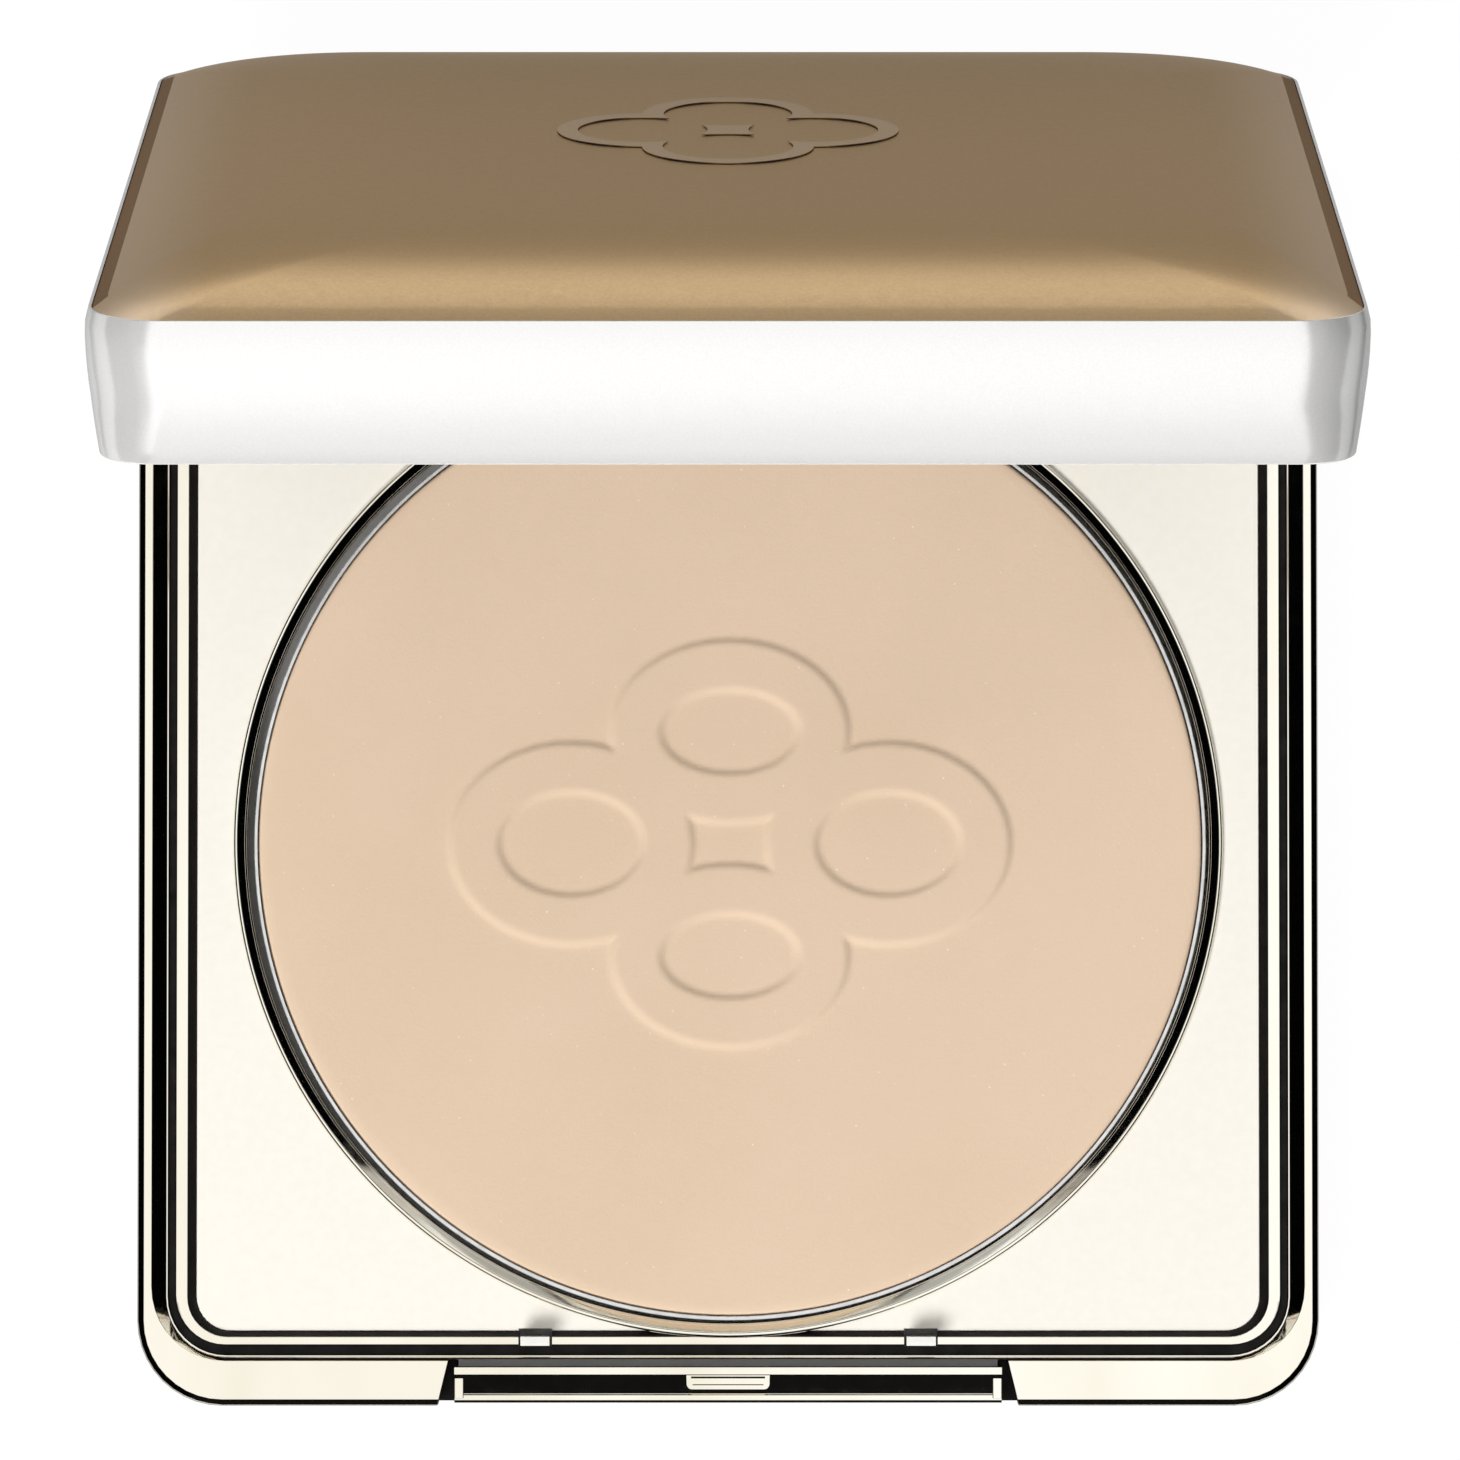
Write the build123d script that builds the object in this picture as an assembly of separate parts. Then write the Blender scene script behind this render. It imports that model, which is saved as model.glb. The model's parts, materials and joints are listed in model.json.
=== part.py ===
from build123d import *
import os
from math import cos, radians, sin

# Powder compact: a square base with a round pan of pressed powder, a front push button and a mirror lid.
# Frame: origin at the centre of the base's bottom face, +X to the right, +Y to the hinge, +Z up.
# The lid is drawn shut, then turned about the hinge pins to its rest position, which is open.
# Lengths along Y are drawn from the middle of the base's width, then everything moves to the origin.

# Base
BASE_WIDTH = 73.5
BASE_DEPTH = 76.0            # front to back
BASE_CORNER = 5.3
HALF = BASE_WIDTH / 2
DEEPER = BASE_DEPTH - BASE_WIDTH
BACK = HALF + DEEPER         # the base runs from -HALF at the front to BACK
CASE_INSET = 0.2             # the case stands this far inside the plated frame
FLOOR_TOP = 1.5
FRAME_BOTTOM = 2.8
FRAME_TOP = 6.4
LEDGE_TOP = 5.7              # the lid's rim comes down on this ledge
GROOVE_BOTTOM = 5.35
DECK_TOP = 5.2
DECK_BOTTOM = 4.6
CASE_WALL_TOP = 4.5
BACK_RIM_TOP = 5.6           # the frame is low at the back, where the lid swings
BACK_LEDGE = BACK - 2.45

# Pan and powder
PAN_Y = -1.65
PAN_OFFSET = 0.12            # the pan is glued a little off centre in its ring
POWDER_RADIUS = 29.45
PAN_RADIUS = 29.7
PAN_BOTTOM = 1.6
PAN_TOP = 5.05
PAN_WALL = 0.25
POWDER_TOP = 4.95
RING_OUTER = 30.87
RING_INNER = 29.98
RING_TOP = 5.55

# Hinge
HINGE_Y = BACK - 0.45
HINGE_Z = 6.1
KNUCKLE_RADIUS = 1.45
PIN_RADIUS = 0.6
PRESS_BORE = 0.61
RUNNING_BORE = 0.64
CENTRE_KNUCKLE = 10.0        # half length of the base's middle knuckle
OUTER_KNUCKLE = (18.0, 22.0)
KNUCKLE_GAP = 0.15
SWING_GAP = 0.25
PIN_INNER_END = 7.0
OPEN_ANGLE = 73.0

# Front button and latch
RECESS_HALF = 17.4
RECESS_BACK = -33.85
BUTTON_HALF = 17.05
BUTTON_FRONT = -36.6
BUTTON_BACK = -34.35
BUTTON_BOTTOM = 2.9
HOOK_X = 12.0                # the slider's two hooks stand up through the ledge
HOOK_HALF = 0.9
HOOK_FRONT = -32.75
HOOK_BACK = -32.45
HOOK_NOSE = 0.25             # reach of a hook's nose towards the front
HOOK_TOP = 6.95
NOSE_BOTTOM = 6.45
BUTTON_TRAVEL = 0.42
SPRING_X = 15.4
SPRING_RADIUS = 0.66
SPRING_WIRE = 0.18
SPRING_TURNS = 5
SLIDER_BACK = -33.42
SLIDER_TOP = 4.5
SPRING_AXIS_Z = 3.6
RIB_FACE = -28.8

# Lid, drawn shut
LID_RIM = 5.8
LID_FRONT = -33.25
LID_HALF = 34.7              # half width at the rim
LID_Y = LID_FRONT + LID_HALF # centre of the lid's front square
LID_WALL = 1.2
RAIL_BACK = -31.4            # inner face of the catch rail behind the front wall
LID_SHOULDER = 14.0
PLATE_FLOOR = 12.9
ROOF_UNDERSIDE = 11.4
PLATE_HALF = 34.72
PLATE_BEVEL = 0.5
PLATE_EDGE = 13.9
DOME_HEIGHT = 2.5
DOME_ROLL = 17.0             # width of the band over which the dome rises
DOME_TOP = PLATE_EDGE + PLATE_BEVEL + DOME_HEIGHT
MIRROR_HALF = 30.5
MIRROR_FACE = 9.2
MIRROR_BACK = 10.7
MIRROR_FRAME_FACE = 8.6


def outline(half_x, y_front, y_back, radius, z):
    """Rounded rectangle at height z, from y_front to y_back."""
    middle = Pos(0, (y_front + y_back) / 2, z)
    return middle * RectangleRounded(2 * half_x, y_back - y_front, radius)


def slab(half_x, y_front, y_back, radius, z_low, z_high):
    """Rounded rectangular block."""
    return extrude(outline(half_x, y_front, y_back, radius, z_low), amount=z_high - z_low)


def square_slab(half, centre_y, radius, z_low, z_high):
    """Nearly square block with rounded corners, DEEPER from front to back than across."""
    return slab(half, centre_y - half, centre_y + half + DEEPER, radius, z_low, z_high)


def box(x_low, x_high, y_low, y_high, z_low, z_high):
    """Block between two corners."""
    middle = Pos((x_low + x_high) / 2, (y_low + y_high) / 2, (z_low + z_high) / 2)
    return middle * Box(x_high - x_low, y_high - y_low, z_high - z_low)


def disc(radius, z_low, z_high, x=0.0, y=PAN_Y):
    """Upright cylinder, by default on the pan's axis."""
    return Pos(x, y, (z_low + z_high) / 2) * Cylinder(radius, z_high - z_low)


def hinge_rod(x_low, x_high, radius):
    """Cylinder on the hinge axis between two places along X."""
    middle = Pos((x_low + x_high) / 2, HINGE_Y, HINGE_Z)
    return middle * Rot(0, 90, 0) * Cylinder(radius, x_high - x_low)


def both_sides(piece):
    """The piece and its mirror image across the middle plane."""
    return piece + mirror(piece, about=Plane.YZ)


def lid_knuckle_space():
    """The two gaps along the hinge that the lid's knuckles turn in."""
    return both_sides(hinge_rod(CENTRE_KNUCKLE, OUTER_KNUCKLE[0], KNUCKLE_RADIUS + SWING_GAP))


def hook_slot():
    """The two slots in the ledge that the slider's hooks stand in and travel along."""
    clear = 0.06
    slot = box(HOOK_X - HOOK_HALF - 0.15, HOOK_X + HOOK_HALF + 0.15,
               HOOK_FRONT - HOOK_NOSE - clear, HOOK_BACK + BUTTON_TRAVEL + clear,
               DECK_BOTTOM - 0.5, FRAME_TOP)
    return both_sides(slot)


def base_case():
    half = HALF - CASE_INSET
    body = square_slab(half, 0, BASE_CORNER - CASE_INSET, 0, FRAME_BOTTOM)
    body = fillet(body.faces().sort_by(Axis.Z)[0].edges(), 0.9)
    wall = square_slab(35.5, 0, 4.1, FRAME_BOTTOM, CASE_WALL_TOP)
    body += wall
    body -= square_slab(34.05, 0, 2.7, FLOOR_TOP, CASE_WALL_TOP)
    body += disc(31.2, FLOOR_TOP, DECK_BOTTOM) - disc(30.3, FLOOR_TOP, DECK_BOTTOM)
    # room for the button and its slider
    body -= box(-RECESS_HALF - 0.2, RECESS_HALF + 0.2, -HALF, RIB_FACE, FRAME_BOTTOM, DECK_TOP)
    body -= lid_knuckle_space()
    body -= both_sides(hinge_rod(OUTER_KNUCKLE[0], OUTER_KNUCKLE[1], KNUCKLE_RADIUS + 0.05))
    body -= hinge_rod(-CENTRE_KNUCKLE, CENTRE_KNUCKLE, KNUCKLE_RADIUS + 0.05)
    # fine moulded ring on the underside
    body -= disc(24.6, 0, 0.2, y=0) - disc(24.0, 0, 0.2, y=0)
    return body


def base_frame():
    body = square_slab(HALF, 0, BASE_CORNER, FRAME_BOTTOM, FRAME_TOP)
    body = fillet(body.faces().sort_by(Axis.Z)[-1].edges(), 0.4)
    # the flange slopes down to the ledge
    slope_top = outline(35.85, -33.95, BACK + 0.25, 4.6, FRAME_TOP + 0.02)
    slope_foot = outline(34.95, -33.45, BACK + 0.05, 3.7, LEDGE_TOP)
    body -= loft([slope_foot.face(), slope_top.face()])
    # the ledge ends in a slope down to the deck
    ledge_edge = outline(33.65, -32.5, BACK_LEDGE, 2.5, LEDGE_TOP + 0.02)
    deck_edge = outline(33.15, -32.15, BACK_LEDGE - 0.45, 2.2, DECK_TOP)
    body -= loft([deck_edge.face(), ledge_edge.face()])
    body -= slab(33.15, -32.15, BACK_LEDGE - 0.45, 2.2, FRAME_BOTTOM, DECK_TOP)
    groove = slab(34.88, -33.42, BACK - 1.6, 3.6, GROOVE_BOTTOM, FRAME_TOP)
    groove -= slab(34.42, -32.97, BACK - 2.05, 3.1, GROOVE_BOTTOM, FRAME_TOP)
    body -= groove
    # channel over the case's wall
    channel = square_slab(35.55, 0, 4.15, FRAME_BOTTOM, DECK_BOTTOM)
    channel -= square_slab(34.0, 0, 2.65, FRAME_BOTTOM, DECK_BOTTOM)
    body -= channel
    body -= box(-HALF, HALF, BACK_LEDGE, BACK + 1, BACK_RIM_TOP, FRAME_TOP)
    # the ring touches the ledge at the front
    body -= disc(RING_OUTER + 0.03, DECK_TOP - 0.1, LEDGE_TOP + 0.1)
    # recess for the button, and the passage behind it for the slider
    body -= box(-RECESS_HALF, RECESS_HALF, -HALF - 1, RECESS_BACK, FRAME_BOTTOM, FRAME_TOP)
    body -= box(-RECESS_HALF, RECESS_HALF, RECESS_BACK, -32.0, FRAME_BOTTOM, DECK_BOTTOM)
    body -= hook_slot()
    return body + base_knuckles() - lid_knuckle_space() - pin_bores(PRESS_BORE)


def base_knuckles():
    """One long middle knuckle and two short outer ones, each on a foot."""
    knuckles = hinge_rod(-CENTRE_KNUCKLE, CENTRE_KNUCKLE, KNUCKLE_RADIUS)
    knuckles += both_sides(hinge_rod(*OUTER_KNUCKLE, KNUCKLE_RADIUS))
    foot_y = (BACK - 1.15, HINGE_Y + 1.0)
    foot_z = (DECK_BOTTOM, HINGE_Z)
    feet = box(-CENTRE_KNUCKLE, CENTRE_KNUCKLE, *foot_y, *foot_z)
    feet += both_sides(box(*OUTER_KNUCKLE, *foot_y, *foot_z))
    return knuckles + feet


def pin_bores(radius):
    return both_sides(hinge_rod(PIN_INNER_END, OUTER_KNUCKLE[1] + 1, radius))


def deck_plate():
    plate = slab(33.1, -32.1, BACK_LEDGE - 0.5, 2.15, DECK_BOTTOM, DECK_TOP)
    plate -= disc(30.2, DECK_BOTTOM, DECK_TOP)
    return plate - hook_slot()


def pan_ring():
    """Turned section: a rounded flange on the deck and a short skirt into the opening."""
    flange = disc(RING_OUTER, DECK_TOP, RING_TOP) - disc(RING_INNER, DECK_TOP, RING_TOP)
    flange = fillet(flange.faces().sort_by(Axis.Z)[-1].edges(), 0.16)
    skirt_foot = 4.3
    return flange + disc(30.16, skirt_foot, DECK_TOP) - disc(RING_INNER, skirt_foot, RING_TOP)


def on_pan_axis(piece):
    return Pos(PAN_OFFSET, -PAN_OFFSET, 0) * piece


def powder_pan():
    pan = disc(PAN_RADIUS, PAN_BOTTOM, PAN_TOP)
    pan = fillet(pan.faces().sort_by(Axis.Z)[0].edges(), 0.5)
    pan -= disc(POWDER_RADIUS, PAN_BOTTOM + PAN_WALL, PAN_TOP)
    return on_pan_axis(pan)


def powder_cake():
    cake = disc(POWDER_RADIUS - 0.01, PAN_BOTTOM + PAN_WALL, POWDER_TOP)
    cake = fillet(cake.faces().sort_by(Axis.Z)[-1].edges(), 0.25)
    return on_pan_axis(cake)


def pan_adhesive():
    return on_pan_axis(disc(22, FLOOR_TOP, PAN_BOTTOM))


def hinge_pin(side):
    """Steel pin; side is -1 for the left one and 1 for the right one."""
    ends = sorted([side * PIN_INNER_END, side * OUTER_KNUCKLE[1]])
    return hinge_rod(*ends, PIN_RADIUS)


def button_cap():
    """Wide bar with a raised back edge, a shallow thumb scoop and a low front lip."""
    back_edge = -34.75
    scoop_end = -36.0
    with BuildPart() as cap:
        with BuildSketch(Plane.YZ):
            with BuildLine():
                Polyline((back_edge, 6.15), (BUTTON_BACK, 6.15), (BUTTON_BACK, BUTTON_BOTTOM),
                         (BUTTON_FRONT, BUTTON_BOTTOM), (BUTTON_FRONT, 5.3), (-36.4, 5.5),
                         (scoop_end, 5.5))
                ThreePointArc((scoop_end, 5.5), (-35.45, 5.4), (back_edge, 6.15))
            make_face()
        extrude(amount=BUTTON_HALF, both=True)
    return cap.part


def button_nib():
    """Small raised press point that stands in the scoop, with a fine slit across it."""
    nib = box(-2.6, 2.6, -35.65, -34.8, 5.9, 6.12)
    upright = nib.edges().filter_by(Axis.Z).sort_by(Axis.Y)[:2]
    nib = fillet(upright, 0.35)
    return nib - box(-2.7, 2.7, -35.12, -35.02, 6.02, 6.2)


def nib_seat():
    """Post under the nib, part of the cap."""
    return box(-2.3, 2.3, -35.5, -34.7, 5.0, 5.9)


def latch_slider():
    """Bar behind the cap; two hooks stand up from its arms and hold the lid's front rail."""
    body = box(-16.8, 16.8, BUTTON_BACK, SLIDER_BACK, BUTTON_BOTTOM + 0.05, SLIDER_TOP)
    x = (HOOK_X - HOOK_HALF, HOOK_X + HOOK_HALF)
    arm = box(*x, SLIDER_BACK, HOOK_BACK, 3.9, SLIDER_TOP)
    post = box(*x, HOOK_FRONT, HOOK_BACK, 3.9, HOOK_TOP)
    nose = box(*x, HOOK_FRONT - HOOK_NOSE, HOOK_FRONT, NOSE_BOTTOM, HOOK_TOP)
    nose = chamfer(nose.edges().filter_by(Axis.X).sort_by(Axis.Y)[:2].sort_by(Axis.Z)[-1:], 0.2)
    return body + both_sides(arm + post + nose) + both_sides(spring_peg())


def spring_peg():
    """Short peg on the slider that centres a spring."""
    length = 0.9
    peg = Cylinder(0.4, length)
    return Pos(SPRING_X, SLIDER_BACK + length / 2, SPRING_AXIS_Z) * Rot(90, 0, 0) * peg


def latch_spring(side):
    """Compression spring between the slider and the case's rib."""
    clear = 0.02
    start = SLIDER_BACK + SPRING_WIRE + clear
    length = RIB_FACE - SLIDER_BACK - 2 * (SPRING_WIRE + clear)
    coil = Helix(pitch=length / SPRING_TURNS, height=length, radius=SPRING_RADIUS)
    section = Plane(origin=coil @ 0, z_dir=coil % 0) * Circle(SPRING_WIRE)
    wire = sweep(section, path=coil)
    return Pos(side * SPRING_X, start, SPRING_AXIS_Z) * Rot(-90, 0, 0) * wire


def lid_outline(half, radius, z):
    """One level of the lid, DEEPER from front to back than across."""
    return outline(half, LID_Y - half, LID_Y + half + DEEPER, radius, z).face()


def lid_shell():
    sections = [(LID_RIM, 0.0, 3.3), (8.2, 0.42, 3.7), (11.0, 0.72, 4.1), (12.7, 0.75, 4.3),
                (LID_SHOULDER, 0.52, 4.3)]
    faces = []
    for z, bulge, radius in sections:
        faces.append(lid_outline(LID_HALF + bulge, radius, z))
    shell = loft(faces)
    inner = LID_HALF - LID_WALL
    shell -= square_slab(inner, LID_Y, 2.2, LID_RIM, ROOF_UNDERSIDE)
    shell -= square_slab(PLATE_HALF + 0.04, LID_Y, 3.9, PLATE_FLOOR, LID_SHOULDER)
    shell += box(-17.5, 17.5, LID_FRONT + LID_WALL - 0.1, RAIL_BACK, LID_RIM, 8.5)
    shell -= both_sides(catch_slot())
    # room for the base's knuckles, then the lid's own knuckles
    swing = KNUCKLE_RADIUS + SWING_GAP
    outer_low, outer_high = OUTER_KNUCKLE
    shell -= hinge_rod(-CENTRE_KNUCKLE - KNUCKLE_GAP, CENTRE_KNUCKLE + KNUCKLE_GAP, swing)
    shell -= both_sides(hinge_rod(outer_low - KNUCKLE_GAP, outer_high + KNUCKLE_GAP, swing))
    own = hinge_rod(CENTRE_KNUCKLE + KNUCKLE_GAP, outer_low - KNUCKLE_GAP, KNUCKLE_RADIUS)
    return shell + both_sides(own) - pin_bores(RUNNING_BORE)


def catch_slot():
    """Undercut slot in the front rim: its lip, low and to the front, catches a hook's nose."""
    clear = 0.05
    lip_top = NOSE_BOTTOM - 0.1
    x = (HOOK_X - HOOK_HALF - 0.2, HOOK_X + HOOK_HALF + 0.2)
    back = HOOK_BACK + BUTTON_TRAVEL + 0.08
    mouth = box(*x, HOOK_FRONT - clear, back, LID_RIM, lip_top)
    return mouth + box(*x, HOOK_FRONT - HOOK_NOSE - clear, back, lip_top, HOOK_TOP + 0.15)


def pillow(wall):
    """Pillow-shaped dome over the lid's roof, drawn in by the wall thickness on every side."""
    half = PLATE_HALF - wall
    faces = [lid_outline(half, 3.8, PLATE_FLOOR + 0.1), lid_outline(half, 3.8, PLATE_EDGE - wall)]
    body = loft(faces)
    steps = 8
    rise = []
    for k in range(steps + 1):
        angle = radians(90 * k / steps)
        inset = PLATE_BEVEL * min(k, 1) + DOME_ROLL * (1 - cos(angle))
        height = PLATE_EDGE - wall + PLATE_BEVEL * min(k, 1) + DOME_HEIGHT * sin(angle)
        rise.append(lid_outline(half - inset, 3.8 + 0.5 * inset, height))
    return body + loft(rise, ruled=True)


def lid_plate():
    return pillow(0) - pillow(1.0)


def plate_adhesive():
    top = PLATE_FLOOR + 0.1
    tape = square_slab(PLATE_HALF - 0.1, LID_Y, 3.7, PLATE_FLOOR, top)
    return tape - square_slab(PLATE_HALF - 1.0, LID_Y, 2.8, PLATE_FLOOR, top)


def blossom(width, height, band):
    """Band that follows the outline of four petals."""
    reach_x, reach_y = width / 4, height / 4
    centres = [(reach_x, 0), (-reach_x, 0), (0, reach_y), (0, -reach_y)]
    outer, inner = [
        Sketch() + [Pos(*centre) * Ellipse(reach_x - inset, reach_y - inset) for centre in centres]
        for inset in (0, band)]
    return outer - inner


def lid_ornament():
    thickness = 0.05
    place = Pos(0, LID_Y + DEEPER / 2 + 2.2, DOME_TOP)
    return place * extrude(blossom(20, 19.5, 1.2), amount=thickness)


def mirror_frame():
    outer = LID_HALF - LID_WALL - 0.05
    frame = square_slab(outer, LID_Y, 2.15, MIRROR_FRAME_FACE, ROOF_UNDERSIDE)
    pocket = MIRROR_HALF + 0.05
    frame -= square_slab(pocket, LID_Y, 1.5, MIRROR_FACE, ROOF_UNDERSIDE)
    opening = MIRROR_HALF - 0.8
    edge = MIRROR_HALF - 0.3
    lip = [lid_outline(opening, 1.2, MIRROR_FACE), lid_outline(edge, 1.4, MIRROR_FRAME_FACE)]
    return frame - loft(lip)


def lid_mirror():
    return square_slab(MIRROR_HALF, LID_Y, 1.4, MIRROR_FACE, MIRROR_BACK)


def mirror_adhesive():
    return square_slab(MIRROR_HALF - 2, LID_Y, 1.4, MIRROR_BACK, ROOF_UNDERSIDE)


def opened(piece):
    """Turn a lid piece from shut to its rest position."""
    hinge = Axis((0, HINGE_Y, HINGE_Z), (1, 0, 0))
    return piece.rotate(hinge, -OPEN_ANGLE)


DRAWN = {
    "base_case": base_case(),
    "base_frame": base_frame(),
    "deck_plate": deck_plate(),
    "pan_ring": pan_ring(),
    "powder_pan": powder_pan(),
    "powder_cake": powder_cake(),
    "pan_adhesive": pan_adhesive(),
    "left_hinge_pin": hinge_pin(-1),
    "right_hinge_pin": hinge_pin(1),
    "button_cap": button_cap() + nib_seat(),
    "button_nib": button_nib(),
    "latch_slider": latch_slider(),
    "left_latch_spring": latch_spring(-1),
    "right_latch_spring": latch_spring(1),
    "lid_shell": opened(lid_shell()),
    "lid_plate": opened(lid_plate()),
    "plate_adhesive": opened(plate_adhesive()),
    "lid_ornament": opened(lid_ornament()),
    "mirror_frame": opened(mirror_frame()),
    "mirror": opened(lid_mirror()),
    "mirror_adhesive": opened(mirror_adhesive()),
}
NODES = {name: Pos(0, -DEEPER / 2, 0) * piece for name, piece in DRAWN.items()}

if __name__ == "__main__":
    os.makedirs("parts", exist_ok=True)
    for name, solid in NODES.items():
        export_step(solid, f"parts/{name}.step")
        size = solid.bounding_box().size
        print(f"{name}: {size.X:.2f} x {size.Y:.2f} x {size.Z:.2f} mm, {solid.volume:.1f} mm3")
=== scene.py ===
# %% [markdown]
# # A powder compact, built round its CAD frame
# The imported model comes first. Its nodes are in metres, in their true places, and none of them is moved.
# Each piece below is drawn over its node, in millimetres, with the lid shut, as a maker would draw it.
# One step at the end of each piece scales it to metres and turns the lid's pieces open round the hinge.

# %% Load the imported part
import json
import math

import bmesh
import bpy
from mathutils import Matrix, Vector


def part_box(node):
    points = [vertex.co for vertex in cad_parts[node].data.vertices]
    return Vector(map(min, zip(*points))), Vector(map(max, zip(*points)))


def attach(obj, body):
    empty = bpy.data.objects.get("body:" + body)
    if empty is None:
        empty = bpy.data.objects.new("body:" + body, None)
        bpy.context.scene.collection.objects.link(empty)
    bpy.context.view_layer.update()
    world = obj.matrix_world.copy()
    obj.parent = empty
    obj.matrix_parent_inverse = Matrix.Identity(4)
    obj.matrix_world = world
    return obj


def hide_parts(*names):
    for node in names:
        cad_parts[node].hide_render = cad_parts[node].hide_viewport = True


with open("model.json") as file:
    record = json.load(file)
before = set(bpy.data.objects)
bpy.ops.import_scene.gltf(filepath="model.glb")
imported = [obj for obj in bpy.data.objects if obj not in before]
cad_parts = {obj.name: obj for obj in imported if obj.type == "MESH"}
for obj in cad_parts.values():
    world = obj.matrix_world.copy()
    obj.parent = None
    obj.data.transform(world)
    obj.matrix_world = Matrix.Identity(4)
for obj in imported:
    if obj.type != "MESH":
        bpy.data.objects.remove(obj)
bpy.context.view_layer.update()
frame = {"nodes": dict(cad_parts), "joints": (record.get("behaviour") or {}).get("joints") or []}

# %% [markdown]
# ## Where things are
# The front edge of the plated frame fixes the drawing's place along Y, and the lid's joint gives the pin's
# axis and how far the lid stands open. Reading them from the frame keeps every piece on its CAD node.

# %% Shared measures, in millimetres
MM = 0.001
HALF = 36.75                     # half the base's width
FRONT = -HALF
frame_low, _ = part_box("base_frame")
CASE_IN = 0.2                    # the case stands this far inside the frame
SHIFT = frame_low.y / MM - FRONT  # the drawing's zero lies this far from the frame's origin
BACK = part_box("base_case")[1].y / MM + CASE_IN - SHIFT
DEEPER = BACK - HALF             # base and lid are deeper than wide
lid_joint = next(joint for joint in frame["joints"] if joint["name"] == "lid_hinge")
HINGE_Y = lid_joint["pos_m"][1] / MM - SHIFT
HINGE_Z = lid_joint["pos_m"][2] / MM
OPEN_ANGLE = -lid_joint["range_deg"][0]
print(f"base {2 * HALF} x {BACK - FRONT:.2f} mm")
print(f"hinge at {HINGE_Y:.2f}, {HINGE_Z:.2f} mm, open {OPEN_ANGLE} degrees")

# %% [markdown]
# ## Camera
# The compact lies open on a white table and is seen almost straight down, from a little in front, through
# a long lens. So the base looks square, while the standing lid leans towards the lens and looks wider.

# %% Camera above the compact
DISTANCE = 575.0
TILT = math.radians(2.0)
AIM = Vector((0.12, 5.28 + SHIFT, 6.4))
camera_data = bpy.data.cameras.new("camera")
camera_data.lens = 227.6
camera_data.sensor_width = 36
camera_data.clip_end = 20
camera = bpy.data.objects.new("camera", camera_data)
bpy.context.scene.collection.objects.link(camera)
camera.location = (AIM + DISTANCE * Vector((0, -math.sin(TILT), math.cos(TILT)))) * MM
camera.rotation_euler = (TILT, 0, 0)
bpy.context.scene.camera = camera
print("camera at", [round(place, 3) for place in camera.location])

# %% [markdown]
# ## Studio
# Plated metal shows what stands round it. A bright ceiling makes every flat edge white, and a dark band
# round the horizon draws black lines on every slope, as black cards do on a jewellery table. The world
# holds both, so no card can stand in another view's way. The ceiling light is a strip from front to back,
# so slopes that face left or right turn dark at once. Low down and far off the world is bright again, and
# the lid's satin cover picks that up along its front edge.

# %% World with a ceiling strip and a dark horizon
def node_tree(block):
    """The block's empty node tree."""
    block.use_nodes = True
    block.node_tree.nodes.clear()
    return block.node_tree


def ramp(tree, factor, stops, interpolation="LINEAR"):
    """Colour ramp fed by a factor; stops are (place, colour)."""
    node = tree.nodes.new("ShaderNodeValToRGB")
    node.color_ramp.interpolation = interpolation
    points = node.color_ramp.elements
    while len(points) < len(stops):
        points.new(0.5)
    for point, (place, colour) in zip(points, stops):
        point.position = place
        point.color = (*colour, 1)
    tree.links.new(factor, node.inputs["Fac"])
    return node.outputs["Color"]


def grey(level):
    return (level, level, level)


def maths(tree, operation, *values):
    """One Math node; each value is a number or a socket."""
    node = tree.nodes.new("ShaderNodeMath")
    node.operation = operation
    for socket, value in zip(node.inputs, values):
        if isinstance(value, float):
            socket.default_value = value
        else:
            tree.links.new(value, socket)
    return node.outputs["Value"]


STRENGTH = 1.4
DARK = grey(0.006)
world = bpy.data.worlds.new("studio")
bpy.context.scene.world = world
tree = node_tree(world)
coordinates = tree.nodes.new("ShaderNodeTexCoord")
direction = tree.nodes.new("ShaderNodeSeparateXYZ")
tree.links.new(coordinates.outputs["Generated"], direction.inputs["Vector"])
half_up = maths(tree, "MULTIPLY_ADD", direction.outputs["Z"], 0.5, 0.5)  # 0 below, 0.5 level, 1 above
BANDS = [(0.0, grey(0.36)), (0.20, grey(0.36)), (0.27, grey(1.35)), (0.47, grey(1.5)), (0.49, DARK),
         (0.79, DARK), (0.85, grey(0.9)), (0.88, grey(1.0)), (1.0, grey(1.0))]
bands = ramp(tree, half_up, BANDS)
sideways = maths(tree, "ABSOLUTE", direction.outputs["X"])
strip = ramp(tree, sideways, [(0.0, grey(1.0)), (0.34, grey(1.0)), (0.46, grey(0.10))])
wide_strip = ramp(tree, sideways, [(0.0, grey(1.0)), (0.45, grey(1.0)), (0.65, grey(0.35))])
below = ramp(tree, half_up, [(0.0, grey(1.0)), (0.49, grey(1.0)), (0.5, grey(0.0))])
low_light = maths(tree, "MULTIPLY", wide_strip, below)
brightness = maths(tree, "MULTIPLY", bands, maths(tree, "MAXIMUM", strip, low_light))
studio_light = tree.nodes.new("ShaderNodeBackground")
tree.links.new(maths(tree, "MULTIPLY", brightness, STRENGTH), studio_light.inputs["Strength"])
paper = tree.nodes.new("ShaderNodeBackground")
paper.inputs["Color"].default_value = (1, 1, 1, 1)
seen = tree.nodes.new("ShaderNodeLightPath")
either = tree.nodes.new("ShaderNodeMixShader")
tree.links.new(seen.outputs["Is Camera Ray"], either.inputs["Fac"])
tree.links.new(studio_light.outputs["Background"], either.inputs[1])
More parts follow.
